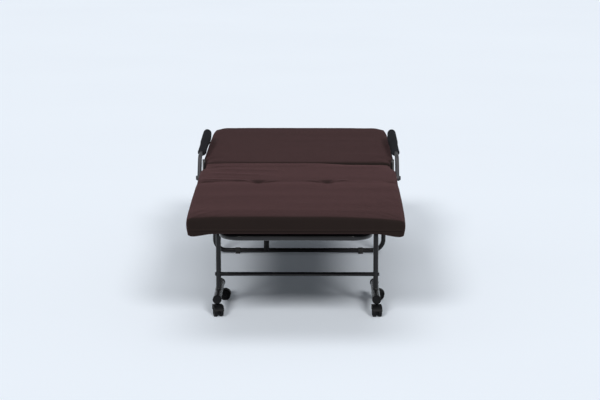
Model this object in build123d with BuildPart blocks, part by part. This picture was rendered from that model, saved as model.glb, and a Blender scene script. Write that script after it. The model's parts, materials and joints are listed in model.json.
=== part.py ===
"""A folding cot on a castered trestle, with a reclining near half, a fold-over far half and side arms.

Millimetres. +X is to the right, +Y runs from the near end to the far end, +Z is up and the floor is z = 0.
"""

import os
from math import cos, radians, sin

from build123d import *

os.makedirs("parts", exist_ok=True)

# Mattress
bed_half_length = 940
mattress_top = 395
mattress_bottom = 330
mattress_half = 325.5
plate_side = 314.4
grip_side = 319
crease_y = 43
tuft_y = -348
tuft_places = (-127, 97)
tuft_radius = 40
tuft_depth = 7

# Hinge pin at the crease, a little above the mattress, and the layers of flat plate beside it
pin_z = 399
pin_diameter = 8
pin_boss = 9
running_gap = 0.05
foot_arm_x = 316.0
back_arm_x = 318.4
hinge_plate_x = 320.8
arm_plate_thickness = 2.0
hinge_plate_thickness = 2.6

# Tube diameters
frame_tube = 22
bar_tube = 19
leg_tube = 16
foot_tube = 25.4
tie_tube = 12.7
rest_tube = 14
arm_tube = 14

# Trestle under the near half
trestle_x = 249
leg_y = -449
rail_z = 292
leg_bend = 60
foot_tube_z = 53.5
foot_tube_front = -559
foot_tube_rear = -291
lower_bar_z = 113
rest_bar_y = -370

# Deck frames
deck_z = 316
deck_bend = 57
back_rail_x = 217
back_front_y = -900
back_bar_y = 0
foot_rail_x = 283
foot_end_y = 900
foot_bar_y = 92
slat_length = 600
slat_width = 40
slat_thickness = 2.5

# U-shaped leg under the far half
leg_u_x = 304
leg_u_y = 479
leg_u_z = 12
leg_u_bend = 40
glide_x = 222
glide_width = 17
glide_radius = 9.8
glide_foot = 17
pivot_bolt = 8

# Side arms
arm_x = 335
arm_pivot_z = 344
arm_bend_y, arm_bend_z = 92, 409
arm_end_y, arm_end_z = 580, 424
grip_length = 460
grip_near_radius = 12.2
grip_far_radius = 14.4

# Ratchet: one notch for each step of the recline
notch_pitch = 5
notch_count = 14
notch_tip_radius = 40
notch_root_radius = 37.4
pawl_angle = 274
pawl_pivot_y, pawl_pivot_z = 79, 348
pawl_parked = 7

# Casters
stem_front_y = -545
stem_rear_y = -310
caster_trail = 15
wheel_radius = 17
wheel_width = 11
wheel_inner = 4
web_thickness = 6
web_radius = 12.5
hood_radius = 18.8
hood_half_width = 15
hood_top = 35.5
stem_diameter = 8
socket_diameter = 11
socket_flange = 13.5
socket_flange_height = 1.6
socket_top = 60
axle_diameter = 5

# Storage strap
strap_x = -108
strap_width = 18
strap_thickness = 1.5
strap_end_z = 84

side_plane = Plane.YZ


def save(piece, name):
    """Label a finished piece and write it."""
    piece.part.label = name
    export_step(piece.part, f"parts/{name}.step")


def save_pair(piece, name):
    """Write a right-hand piece and its mirror image on the left."""
    save(piece, f"{name}_right")
    with BuildPart() as other:
        mirror(piece.part, about=Plane.YZ)
    save(other, f"{name}_left")


def bent_tube(points, bend, diameter):
    """A round tube along straight runs with equal bends."""
    with BuildPart() as tube:
        with BuildLine() as path:
            FilletPolyline(*points, radius=bend)
        with BuildSketch(Plane(origin=path.line @ 0, z_dir=path.line % 0)):
            Circle(diameter / 2)
        sweep(path=path.line)
    return tube


def bar_across(y, z, half_length, diameter):
    """A round bar along X, centred on the bed."""
    with BuildPart() as bar:
        with BuildSketch(side_plane.offset(-half_length)):
            with Locations((y, z)):
                Circle(diameter / 2)
        extrude(amount=2 * half_length)
    return bar


def cut_across(y, z, diameter, x_from, x_to):
    """Cut a round hole along X from the piece being built."""
    with Locations(((x_from + x_to) / 2, y, z)):
        Cylinder(diameter / 2, x_to - x_from, rotation=(0, 90, 0), mode=Mode.SUBTRACT)


def linked_plate(x, thickness, bosses, holes):
    """A flat plate whose outline wraps round bosses (y, z, radius), with holes (y, z, diameter)."""
    with BuildPart() as plate:
        with BuildSketch(side_plane.offset(x)):
            for y, z, radius in bosses:
                with Locations((y, z)):
                    Circle(radius)
            make_hull()
            for y, z, diameter in holes:
                with Locations((y, z)):
                    Circle(diameter / 2, mode=Mode.SUBTRACT)
        extrude(amount=thickness)
    return plate


def cushion(sections):
    """A padded block lofted through sections (y, half width, crown height, bottom height)."""
    with BuildPart() as pad:
        for y, half, crown, bottom in sections:
            shoulder = crown - 0.1 * (crown - bottom)
            waist = (crown + bottom) / 2 - 4
            with BuildSketch(Plane.XZ.offset(-y)):
                with BuildLine():
                    Line((-half + 9, bottom), (half - 9, bottom))
                    ThreePointArc((half - 9, bottom), (half, waist), (half - 15, shoulder))
                    ThreePointArc((half - 15, shoulder), (0, crown), (-half + 15, shoulder))
                    ThreePointArc((-half + 15, shoulder), (-half, waist), (-half + 9, bottom))
                make_face()
        loft(ruled=True)
    return pad


# Trestle: each side tube is a leg bent back into a rail, coped to the foot tube and the hinge bar
side_tube = bent_tube(
    [
        (trestle_x, leg_y, foot_tube_z),
        (trestle_x, leg_y, rail_z),
        (trestle_x, crease_y, rail_z),
    ],
    leg_bend,
    leg_tube,
)
with side_tube:
    with Locations((trestle_x, leg_y, foot_tube_z)):
        Cylinder(foot_tube / 2, 2 * foot_tube, rotation=(90, 0, 0), mode=Mode.SUBTRACT)
    cut_across(crease_y, rail_z, frame_tube, trestle_x - leg_tube, trestle_x + leg_tube)
    cut_across(leg_y, lower_bar_z, 6, trestle_x - leg_tube, trestle_x + leg_tube)
save_pair(side_tube, "side_tube")

foot_middle_y = (foot_tube_front + foot_tube_rear) / 2
foot_tube_length = foot_tube_rear - foot_tube_front
with BuildPart() as foot_bar:
    with Locations((trestle_x, foot_middle_y, foot_tube_z)):
        Cylinder(foot_tube / 2, foot_tube_length, rotation=(90, 0, 0))
    with Locations((trestle_x, stem_front_y, 0), (trestle_x, stem_rear_y, 0)):
        Cylinder(
            socket_diameter / 2,
            socket_top,
            align=(Align.CENTER, Align.CENTER, Align.MIN),
            mode=Mode.SUBTRACT,
        )
save_pair(foot_bar, "foot_tube")

cap_sleeve = 5
cap_wall = 1.3
cap_end = 3
cap_radius = foot_tube / 2 + cap_wall
with BuildPart() as end_cap:
    Cylinder(cap_radius, cap_sleeve + cap_end, align=(Align.CENTER, Align.CENTER, Align.MIN))
    chamfer(end_cap.edges().group_by(Axis.Z)[-1], 2)
    Cylinder(
        foot_tube / 2,
        cap_sleeve,
        align=(Align.CENTER, Align.CENTER, Align.MIN),
        mode=Mode.SUBTRACT,
    )
with BuildPart() as foot_caps:
    for side in (-1, 1):
        with Locations(
            Location((side * trestle_x, foot_tube_front + cap_sleeve, foot_tube_z), (90, 0, 0)),
            Location((side * trestle_x, foot_tube_rear - cap_sleeve, foot_tube_z), (-90, 0, 0)),
        ):
            add(end_cap.part)
save(foot_caps, "foot_tube_caps")

lower_bar = bar_across(leg_y, lower_bar_z, trestle_x, tie_tube)
with lower_bar:
    with Locations((-trestle_x, leg_y, lower_bar_z), (trestle_x, leg_y, lower_bar_z)):
        Cylinder(leg_tube / 2, 2 * leg_tube, mode=Mode.SUBTRACT)
    cut_across(leg_y, lower_bar_z, 6, -trestle_x, -trestle_x + 20)
    cut_across(leg_y, lower_bar_z, 6, trestle_x - 20, trestle_x)
save(lower_bar, "lower_crossbar")

bolt_seat_x = trestle_x + leg_tube / 2
with BuildPart() as bar_bolt:
    with BuildSketch(side_plane.offset(trestle_x - 20)):
        with Locations((leg_y, lower_bar_z)):
            Circle(3)
    extrude(amount=bolt_seat_x - trestle_x + 20)
    with BuildSketch(side_plane.offset(bolt_seat_x)):
        with Locations((leg_y, lower_bar_z)):
            Circle(6)
    extrude(amount=3.4, taper=18)
save_pair(bar_bolt, "lower_crossbar_bolt")

rest_bar = bar_across(rest_bar_y, rail_z, trestle_x, rest_tube)
with rest_bar:
    for side in (-1, 1):
        with Locations((side * trestle_x, rest_bar_y, rail_z)):
            Cylinder(leg_tube / 2, 3 * leg_tube, rotation=(90, 0, 0), mode=Mode.SUBTRACT)
save(rest_bar, "rest_crossbar")

pad_top_z = deck_z - frame_tube / 2 - 0.3
with BuildPart() as rest_pads:
    with Locations((-back_rail_x, rest_bar_y, rail_z - 2), (back_rail_x, rest_bar_y, rail_z - 2)):
        Box(20, 24, pad_top_z - rail_z + 2, align=(Align.CENTER, Align.CENTER, Align.MIN))
    fillet(rest_pads.edges().filter_by(Axis.Z), 4)
    cut_across(rest_bar_y, rail_z, rest_tube, -trestle_x, trestle_x)
save(rest_pads, "rest_pads")

# Hinge at the crease: a wide bar with an upright plate at each end
hinge_bar = bar_across(crease_y, rail_z, hinge_plate_x, frame_tube)
save(hinge_bar, "hinge_crossbar")

arm_dy = foot_bar_y - crease_y
arm_dz = deck_z - pin_z
arm_reach = (arm_dy**2 + arm_dz**2) ** 0.5
foot_boss = 12
stop_radius = 5
stop_distance = foot_boss + stop_radius + 0.3
stop_y = foot_bar_y + arm_dz / arm_reach * stop_distance
stop_z = deck_z - arm_dy / arm_reach * stop_distance

hinge_plate = linked_plate(
    hinge_plate_x,
    hinge_plate_thickness,
    [
        (crease_y, pin_z, pin_boss),
        (pawl_pivot_y, pawl_pivot_z, 9),
        (stop_y, stop_z, 9),
        (crease_y, rail_z, 17),
    ],
    [
        (crease_y, pin_z, pin_diameter),
        (crease_y, arm_pivot_z, pivot_bolt),
        (pawl_pivot_y, pawl_pivot_z, 6),
    ],
)
save_pair(hinge_plate, "hinge_plate")

plate_face_x = hinge_plate_x + hinge_plate_thickness
with BuildPart() as hinge_pin:
    with BuildSketch(side_plane.offset(foot_arm_x - 0.2)):
        with Locations((crease_y, pin_z)):
            Circle(pin_diameter / 2)
    extrude(amount=plate_face_x - foot_arm_x + 0.2)
    with BuildSketch(side_plane.offset(foot_arm_x - 0.2)):
        with Locations((crease_y, pin_z)):
            Circle(7.5)
    extrude(amount=-1.6, taper=20)
save_pair(hinge_pin, "hinge_pin")

with BuildPart() as stop_pin:
    with BuildSketch(side_plane.offset(foot_arm_x)):
        with Locations((stop_y, stop_z)):
            Circle(stop_radius)
    extrude(amount=hinge_plate_x - foot_arm_x)
save_pair(stop_pin, "stop_pin")

arm_boss_width = arm_tube - 0.6
arm_outer_x = arm_x + arm_tube / 2
with BuildPart() as arm_bolt:
    with BuildSketch(side_plane.offset(foot_arm_x)):
        with Locations((crease_y, arm_pivot_z)):
            RegularPolygon(7.5, 6)
    extrude(amount=hinge_plate_x - foot_arm_x)
    with BuildSketch(side_plane.offset(hinge_plate_x)):
        with Locations((crease_y, arm_pivot_z)):
            Circle(pivot_bolt / 2)
    extrude(amount=arm_outer_x + 0.3 - hinge_plate_x)
    with BuildSketch(side_plane.offset(plate_face_x)):
        with Locations((crease_y, arm_pivot_z)):
            Circle(7)
    extrude(amount=arm_x - arm_boss_width / 2 - 0.3 - plate_face_x)
    with BuildSketch(side_plane.offset(arm_outer_x + 0.3)):
        with Locations((crease_y, arm_pivot_z)):
            Circle(8)
    extrude(amount=4, taper=20)
save_pair(arm_bolt, "arm_bolt")

# Ratchet pawl: a short strut that drops between the teeth of the reclining plate
tip_y = crease_y + notch_root_radius * cos(radians(pawl_angle))
tip_z = pin_z + notch_root_radius * sin(radians(pawl_angle))
pawl_layer = side_plane.offset(back_arm_x)
with BuildPart() as pawl:
    with BuildSketch(pawl_layer):
        with BuildLine():
            Polyline(
                (tip_y - 0.1, tip_z - 0.5),
                (tip_y + 1.2, tip_z - 1.5),
                (tip_y + 9, tip_z - 6.2),
                (pawl_pivot_y, pawl_pivot_z + 5.5),
                (pawl_pivot_y, pawl_pivot_z - 5.5),
                (tip_y + 6, tip_z - 12.5),
                (tip_y - 0.1, tip_z - 0.5),
            )
        make_face()
        with Locations((pawl_pivot_y, pawl_pivot_z)):
            Circle(6)
            Circle(3 + running_gap, mode=Mode.SUBTRACT)
    extrude(amount=arm_plate_thickness)
pawl_hinge = Axis((0, pawl_pivot_y, pawl_pivot_z), (1, 0, 0))
with BuildPart() as parked_pawl:
    add(pawl.part.rotate(pawl_hinge, pawl_parked))
save_pair(parked_pawl, "pawl")

with BuildPart() as pawl_rivet:
    with BuildSketch(pawl_layer):
        with Locations((pawl_pivot_y, pawl_pivot_z)):
            Circle(3)
    extrude(amount=plate_face_x - back_arm_x)
save_pair(pawl_rivet, "pawl_rivet")

# Sockets that take the caster stems
tube_bottom_z = foot_tube_z - foot_tube / 2
flange_z = tube_bottom_z - socket_flange_height
stem_places = [
    (side * trestle_x, y) for y in (stem_front_y, stem_rear_y) for side in (-1, 1)
]
with BuildPart() as sockets:
    with Locations(*[(x, y, flange_z) for x, y in stem_places]):
        Cylinder(
            socket_flange / 2,
            socket_flange_height,
            align=(Align.CENTER, Align.CENTER, Align.MIN),
        )
        Cylinder(
            socket_diameter / 2,
            socket_top - flange_z,
            align=(Align.CENTER, Align.CENTER, Align.MIN),
        )
        Cylinder(
            stem_diameter / 2 + running_gap,
            socket_top - flange_z - 1,
            align=(Align.CENTER, Align.CENTER, Align.MIN),
            mode=Mode.SUBTRACT,
        )
save(sockets, "caster_sockets")

# Storage strap: a sewn loop round the hinge bar and a hanging tail
loop_inner = frame_tube / 2 + 0.2
loop_outer = loop_inner + strap_thickness
with BuildPart() as strap:
    with BuildSketch(side_plane.offset(strap_x - strap_width / 2)):
        with Locations((crease_y, rail_z)):
            Circle(loop_outer)
        with Locations((crease_y - loop_outer, strap_end_z)):
            Rectangle(strap_thickness, rail_z - strap_end_z, align=(Align.MIN, Align.MIN))
        with Locations((crease_y, rail_z)):
            Circle(loop_inner, mode=Mode.SUBTRACT)
    extrude(amount=strap_width)
save(strap, "storage_strap")


# Deck frames: a U-shaped tube closed by a wide bar, with flat slats across
def deck_tube(rail_x, bar_y, end_y):
    """A U-shaped tube whose open ends are coped to the bar at bar_y."""
    tube = bent_tube(
        [
            (-rail_x, bar_y, deck_z),
            (-rail_x, end_y, deck_z),
            (rail_x, end_y, deck_z),
            (rail_x, bar_y, deck_z),
        ],
        deck_bend,
        frame_tube,
    )
    with tube:
        cut_across(bar_y, deck_z, bar_tube, -rail_x - frame_tube, rail_x + frame_tube)
    return tube


def slats(first_y, last_y, count):
    """Flat slats with rounded ends, resting on the rails."""
    step = (last_y - first_y) / (count - 1)
    with BuildPart() as row:
        with BuildSketch(Plane.XY.offset(deck_z + frame_tube / 2)):
            with Locations(*[(0, first_y + n * step) for n in range(count)]):
                RectangleRounded(slat_length, slat_width, 12)
        extrude(amount=slat_thickness)
    return row


save(deck_tube(back_rail_x, back_bar_y, back_front_y), "back_frame_tube")
save(bar_across(back_bar_y, deck_z, back_arm_x, bar_tube), "back_hinge_bar")
save(slats(-850, -40, 7), "back_slats")


def notch_point(radius, angle):
    """A point on the ratchet, by its radius and angle round the hinge pin."""
    return (crease_y + radius * cos(radians(angle)), pin_z + radius * sin(radians(angle)))


# Reclining plate: the teeth face the pawl as the near half is raised
back_arm = linked_plate(
    back_arm_x,
    arm_plate_thickness,
    [(crease_y, pin_z, pin_boss), (back_bar_y, deck_z, 12)],
    [],
)
outline = [(crease_y, pin_z)]
for step in range(notch_count + 1):
    valley = pawl_angle + step * notch_pitch
    outline.append(notch_point(notch_root_radius, valley))
    outline.append(notch_point(notch_tip_radius, valley + notch_pitch - 0.6))
    outline.append(notch_point(notch_root_radius, valley + notch_pitch - 0.3))
with BuildPart() as ratchet_plate:
    add(back_arm.part)
    with BuildSketch(side_plane.offset(back_arm_x)):
        with BuildLine():
            Polyline(*outline, close=True)
        make_face()
    extrude(amount=arm_plate_thickness)
    cut_across(crease_y, pin_z, pin_diameter + 2 * running_gap, back_arm_x - 1, back_arm_x + 4)
save_pair(ratchet_plate, "ratchet_plate")

foot_deck = deck_tube(foot_rail_x, foot_bar_y, foot_end_y)
with foot_deck:
    cut_across(leg_u_y, deck_z, pivot_bolt, -foot_rail_x - 20, foot_rail_x + 20)
save(foot_deck, "foot_frame_tube")
save(bar_across(foot_bar_y, deck_z, foot_arm_x, bar_tube), "foot_hinge_bar")
save(slats(135, 865, 6), "foot_slats")

foot_arm = linked_plate(
    foot_arm_x,
    arm_plate_thickness,
    [(crease_y, pin_z, pin_boss), (foot_bar_y, deck_z, foot_boss)],
    [(crease_y, pin_z, pin_diameter + 2 * running_gap)],
)
save_pair(foot_arm, "fold_plate")

# U-shaped leg, bolted through the rails of the far half
leg_u = bent_tube(
    [
        (-leg_u_x, leg_u_y, deck_z + 8),
        (-leg_u_x, leg_u_y, leg_u_z),
        (leg_u_x, leg_u_y, leg_u_z),
        (leg_u_x, leg_u_y, deck_z + 8),
    ],
    leg_u_bend,
    leg_tube,
)
with leg_u:
    for side in (-1, 1):
        with Locations((side * leg_u_x, leg_u_y, deck_z)):
            Cylinder(
                pivot_bolt / 2 + running_gap, 2 * leg_tube, rotation=(0, 90, 0), mode=Mode.SUBTRACT
            )
save(leg_u, "leg_tube")

bolt_inner_x = foot_rail_x - frame_tube / 2
leg_outer_x = leg_u_x + leg_tube / 2
with BuildPart() as leg_bolt:
    with BuildSketch(side_plane.offset(bolt_inner_x - 5)):
        with Locations((leg_u_y, deck_z)):
            RegularPolygon(7.5, 6)
    extrude(amount=5)
    with BuildSketch(side_plane.offset(bolt_inner_x)):
        with Locations((leg_u_y, deck_z)):
            Circle(pivot_bolt / 2)
    extrude(amount=leg_outer_x + 0.3 - bolt_inner_x)
    with BuildSketch(side_plane.offset(leg_outer_x + 0.3)):
        with Locations((leg_u_y, deck_z)):
            Circle(7)
    extrude(amount=3.6, taper=20)
save_pair(leg_bolt, "leg_bolt")

washer_inner_x = foot_rail_x + frame_tube / 2
with BuildPart() as leg_washer:
    with BuildSketch(side_plane.offset(washer_inner_x)):
        with Locations((leg_u_y, deck_z)):
            Circle(7)
            Circle(pivot_bolt / 2, mode=Mode.SUBTRACT)
    extrude(amount=leg_u_x - leg_tube / 2 - washer_inner_x - 0.3)
save_pair(leg_washer, "leg_washer")

with BuildPart() as glide:
    with BuildSketch(side_plane.offset(glide_x - glide_width / 2)):
        with Locations((leg_u_y, leg_u_z)):
            Circle(glide_radius)
        with Locations((leg_u_y, 0)):
            Rectangle(glide_foot, leg_u_z, align=(Align.CENTER, Align.MIN))
        with Locations((leg_u_y, leg_u_z)):
            Circle(leg_tube / 2, mode=Mode.SUBTRACT)
    extrude(amount=glide_width)
save_pair(glide, "leg_glide")

# Side arms: a bent tube on a pivot boss, with a foam grip that swells towards its free end
arm = bent_tube(
    [
        (arm_x, crease_y, arm_pivot_z),
        (arm_x, arm_bend_y, arm_bend_z),
        (arm_x, arm_end_y, arm_end_z),
    ],
    45,
    arm_tube,
)
with arm:
    with Locations((arm_x, crease_y, arm_pivot_z)):
        Cylinder(9.5, arm_boss_width, rotation=(0, 90, 0))
        Cylinder(pivot_bolt / 2 + running_gap, 2 * arm_tube, rotation=(0, 90, 0), mode=Mode.SUBTRACT)
save_pair(arm, "arm_tube")

grip_run = Vector(0, arm_end_y - arm_bend_y, arm_end_z - arm_bend_z).normalized()
grip_end = Vector(arm_x, arm_end_y, arm_end_z)
grip_plane = Plane(origin=grip_end, x_dir=grip_run, z_dir=(1, 0, 0))
grip_dome = 9
with BuildPart() as grip:
    with BuildSketch(grip_plane):
        with BuildLine():
            Polyline(
                (0, 0),
                (0, arm_tube / 2),
                (-grip_length, arm_tube / 2),
                (-grip_length, grip_near_radius - 2.4),
                (-grip_length + 2.4, grip_near_radius),
                (-0.52 * grip_length, grip_near_radius),
                (-0.4 * grip_length, grip_far_radius),
                (0, grip_far_radius),
                (0.6 * grip_dome, 0.84 * grip_far_radius),
                (0.93 * grip_dome, 0.5 * grip_far_radius),
                (grip_dome, 0.2 * grip_far_radius),
                (grip_dome, 0),
                (0, 0),
            )
        make_face()
    revolve(axis=Axis(grip_end, grip_run))
save_pair(grip, "arm_grip")

# Mattress cushions, narrower beside the hinge plates and beside the grips
near_sections = [
    (-bed_half_length, 313, 379, mattress_bottom + 1),
    (-bed_half_length + 12, 320, 388, mattress_bottom - 1),
    (-bed_half_length + 70, 322.5, 392, mattress_bottom),
    (-600, mattress_half, mattress_top, mattress_bottom),
    (tuft_y - 70, mattress_half, mattress_top, mattress_bottom),
    (tuft_y, mattress_half, mattress_top - 4, mattress_bottom),
    (tuft_y + 70, mattress_half, mattress_top, mattress_bottom),
    (-62, mattress_half - 1, mattress_top, mattress_bottom),
    (-40, plate_side, mattress_top, mattress_bottom),
    (crease_y - 14, plate_side - 1, mattress_top - 1, mattress_bottom),
    (crease_y - 3, plate_side - 3, mattress_top - 11, mattress_bottom + 1),
]
near_pad = cushion(near_sections)
with near_pad:
    tuft_z = mattress_top - 4 - tuft_depth + tuft_radius
    with Locations(*[(tuft_x, tuft_y, tuft_z) for tuft_x in tuft_places]):
        Sphere(tuft_radius, mode=Mode.SUBTRACT)
save(near_pad, "mattress_back")

far_sections = [
    (crease_y + 3, plate_side - 3, mattress_top - 10, mattress_bottom + 1),
    (crease_y + 14, plate_side - 1, mattress_top + 1, mattress_bottom),
    (crease_y + 70, plate_side, mattress_top + 1, mattress_bottom),
    (140, grip_side, mattress_top, mattress_bottom),
    (590, grip_side, mattress_top + 1, mattress_bottom),
    (630, mattress_half - 1, mattress_top + 1, mattress_bottom),
    (bed_half_length - 70, mattress_half - 1, mattress_top + 3, mattress_bottom),
    (bed_half_length - 12, 320, mattress_top + 2.5, mattress_bottom),
    (bed_half_length, 309, mattress_top - 7, mattress_bottom + 2),
]
save(cushion(far_sections), "mattress_foot")

# Casters, built about the stem with the wheels trailing towards -Y
axle_z = wheel_radius
with BuildPart() as hood:
    with BuildSketch(side_plane.offset(-hood_half_width)):
        with Locations((-caster_trail, axle_z)):
            Circle(hood_radius)
        with Locations((0, hood_top)):
            Rectangle(18, 16, align=(Align.CENTER, Align.MAX))
        with Locations((0, axle_z + 3)):
            Rectangle(120, 60, align=(Align.CENTER, Align.MAX), mode=Mode.SUBTRACT)
    extrude(amount=2 * hood_half_width)
    for inner, outer in ((web_thickness / 2, 20), (-20, -web_thickness / 2)):
        cut_across(-caster_trail, axle_z, 2 * wheel_radius + 1.4, inner, outer)
    with BuildSketch(side_plane.offset(-web_thickness / 2)):
        with Locations((-caster_trail, axle_z)):
            Circle(web_radius)
    extrude(amount=web_thickness)
    cut_across(-caster_trail, axle_z, axle_diameter + 2 * running_gap, -20, 20)
    with Locations((0, 0, hood_top)):
        Cylinder(
            stem_diameter / 2,
            socket_top - hood_top - 2,
            align=(Align.CENTER, Align.CENTER, Align.MIN),
        )

wheel_outer = wheel_inner + wheel_width
with BuildPart() as wheels:
    with BuildSketch(Plane.XY):
        with BuildLine():
            Polyline(
                (wheel_inner, 0),
                (wheel_inner, wheel_radius - 1),
                (wheel_inner + 1, wheel_radius),
                (wheel_outer - 3, wheel_radius),
                (wheel_outer - 1, wheel_radius - 1.2),
                (wheel_outer, wheel_radius - 4),
                (wheel_outer - 2, wheel_radius - 6),
                (wheel_outer - 2, 5),
                (wheel_outer, 4),
                (wheel_outer, 0),
                (wheel_inner, 0),
            )
        make_face()
    revolve(axis=Axis.X)
    mirror(about=Plane.YZ)
    with BuildSketch(side_plane.offset(-wheel_inner)):
        Circle(axle_diameter / 2)
    extrude(amount=2 * wheel_inner)

corners = {"front_left": 14, "front_right": 5, "rear_left": 90, "rear_right": 90}
for (corner, turn), (stem_x, stem_y) in zip(corners.items(), stem_places):
    stem = Location((stem_x, stem_y, 0), (0, 0, turn))
    with BuildPart() as caster_hood:
        with Locations(stem):
            add(hood.part)
    save(caster_hood, f"caster_hood_{corner}")
    with BuildPart() as caster_wheels:
        with Locations(stem * Pos(0, -caster_trail, axle_z)):
            add(wheels.part)
    save(caster_wheels, f"caster_wheels_{corner}")
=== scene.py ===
import json
import math

import bmesh
import bpy
from bpy.props import FloatProperty, FloatVectorProperty, IntProperty, PointerProperty
from mathutils import Matrix, Vector, noise


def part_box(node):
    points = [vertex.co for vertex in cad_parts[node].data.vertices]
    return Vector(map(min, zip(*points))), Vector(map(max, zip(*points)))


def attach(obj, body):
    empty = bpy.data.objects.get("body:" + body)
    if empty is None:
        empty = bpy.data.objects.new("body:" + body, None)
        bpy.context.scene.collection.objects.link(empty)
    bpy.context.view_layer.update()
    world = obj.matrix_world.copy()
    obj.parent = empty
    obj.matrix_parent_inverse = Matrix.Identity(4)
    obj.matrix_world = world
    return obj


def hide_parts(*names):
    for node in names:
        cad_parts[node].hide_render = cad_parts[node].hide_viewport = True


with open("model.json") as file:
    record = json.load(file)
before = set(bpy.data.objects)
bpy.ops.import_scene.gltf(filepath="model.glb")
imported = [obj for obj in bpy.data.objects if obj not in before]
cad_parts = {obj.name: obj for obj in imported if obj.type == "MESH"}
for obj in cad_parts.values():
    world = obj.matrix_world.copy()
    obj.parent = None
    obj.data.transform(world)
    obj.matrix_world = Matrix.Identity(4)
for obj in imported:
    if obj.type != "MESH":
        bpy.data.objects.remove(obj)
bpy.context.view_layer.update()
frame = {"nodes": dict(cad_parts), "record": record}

bl_info = {
    "name": "Folding Cot",
    "version": (1, 0, 0),
    "blender": (4, 5, 0),
    "location": "View3D > Sidebar > Cot",
    "description": "Cushions, foam grips, strap, trim and finishes for a folding cot",
    "category": "Object",
}

SIDES = (("left", -1), ("right", 1))

# Places on the frame, in metres
DECK_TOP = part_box("back_slats")[1].z
PIN_Y = 0.043
PIN_Z = 0.399
ARM_X = 0.335
ARM_BEND = Vector((0, 0.092, 0.409))
ARM_END = Vector((0, 0.580, 0.424))

# Places on the cushions, in metres
CUSHION_END = 0.940
CUSHION_BOTTOM = DECK_TOP + 0.0004
CREASE_GAP = 0.0012
SEAM_Z = DECK_TOP + 0.010
STITCH_Z = SEAM_Z + 0.0042
TUFT_Y = -0.348
TUFTS = (-0.127, 0.097)
# Room beside the hinge plates and beside the grips: from y, to y, half width
SIDE_ROOM = [(-0.036, 0.116, 0.3148), (0.116, 0.600, 0.3322)]


class CotSizes(bpy.types.PropertyGroup):
    """Sizes of the soft pieces."""

    cover_mesh: FloatProperty(
        name="Cover mesh", description="Size of the cover's mesh before it is smoothed",
        default=0.0078, min=0.004, unit="LENGTH",
    )
    arris: FloatProperty(
        name="Arris", description="Rounding of the cushions' edges", default=0.007, unit="LENGTH"
    )
    filling_pressure: FloatProperty(
        name="Filling pressure", description="How hard the foam pushes on the cover", default=3.5
    )
    swell_limit: FloatProperty(
        name="Swell limit", description="How far the cover may move as it settles",
        default=0.0022, unit="LENGTH",
    )
    cover_slack: FloatProperty(
        name="Cover slack", description="Share by which the cover is larger than its filling",
        default=0.006, min=0,
    )
    settle_frames: IntProperty(
        name="Settle frames", description="Frames for which the cover settles", default=20, min=2
    )
    tuft_depth: FloatProperty(
        name="Tuft depth", description="Depth of the two sewn tufts", default=0.009, unit="LENGTH"
    )
    crease_step: FloatProperty(
        name="Crease step", description="Drop of the near cushion at the right of the crease",
        default=0.0042, unit="LENGTH",
    )
    channel_depth: FloatProperty(
        name="Channel depth", description="Depth of the faint line through the tufts",
        default=0.0008, unit="LENGTH",
    )
    strap_width: FloatProperty(
        name="Strap width", description="Width of the storage strap", default=0.018, unit="LENGTH"
    )
    strap_thickness: FloatProperty(
        name="Strap thickness", description="Thickness of the strap's tape",
        default=0.0014, unit="LENGTH",
    )
    weld_radius: FloatProperty(
        name="Weld radius", description="Size of the weld beads on the tubes",
        default=0.0017, unit="LENGTH",
    )


class CotColours(bpy.types.PropertyGroup):
    """Colours of the finishes."""

    cover: FloatVectorProperty(
        name="Cover", description="Brown of the cushion cover", subtype="COLOR", size=3,
        default=(0.0106, 0.0075, 0.0064), min=0, max=1,
    )
    paint: FloatVectorProperty(
        name="Frame paint", description="Charcoal of the painted tubes", subtype="COLOR", size=3,
        default=(0.0115, 0.0114, 0.0127), min=0, max=1,
    )
    plates: FloatVectorProperty(
        name="Plate paint", description="Black of the plates and slats", subtype="COLOR", size=3,
        default=(0.018, 0.018, 0.0195), min=0, max=1,
    )
    plastic: FloatVectorProperty(
        name="Plastic", description="Black of the moulded plastic", subtype="COLOR", size=3,
        default=(0.0050, 0.0052, 0.0062), min=0, max=1,
    )
    foam: FloatVectorProperty(
        name="Foam", description="Black of the arm grips", subtype="COLOR", size=3,
        default=(0.0050, 0.0056, 0.0080), min=0, max=1,
    )
    floor: FloatVectorProperty(
        name="Floor", description="Pale colour of the studio floor", subtype="COLOR", size=3,
        default=(0.85, 0.915, 1.0), min=0, max=1,
    )


class CotStudio(bpy.types.PropertyGroup):
    """Camera and light."""

    lens: FloatProperty(name="Lens", description="Focal length", default=124.45, unit="CAMERA")
    camera_place: FloatVectorProperty(
        name="Camera", description="Where the camera stands", subtype="TRANSLATION", size=3,
        default=(0.0534, -6.893, 1.428),
    )
    camera_pitch: FloatProperty(
        name="Pitch", description="How far the camera looks down", subtype="ANGLE",
        default=math.radians(9.49),
    )
    camera_yaw: FloatProperty(
        name="Yaw", description="Turn of the camera about the vertical", subtype="ANGLE",
        default=math.radians(0.394),
    )
    overhead: FloatProperty(
        name="Overhead", description="Strength of the overhead light", default=0.72
    )
    front_fill: FloatProperty(
        name="Front fill", description="Strength of each of the two lights from the front",
        default=1.8,
    )
    surround: FloatProperty(
        name="Surround", description="Strength of the light all round", default=0.21
    )


def sizes():
    """The sizes that the panel shows."""
    return bpy.context.scene.cot_sizes


def colours():
    """The colours that the panel shows."""
    return bpy.context.scene.cot_colours


def smooth(edge0, edge1, at):
    """A soft step from 0 at edge0 to 1 at edge1."""
    t = min(1, max(0, (at - edge0) / (edge1 - edge0)))
    return t * t * (3 - 2 * t)


def along(table, at):
    """The value at a place in a table of (place, value) rows, eased between rows."""
    for (p0, v0), (p1, v1) in zip(table, table[1:]):
        if at <= p1:
            return v0 + (v1 - v0) * smooth(p0, p1, max(at, p0))
    return table[-1][1]


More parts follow.
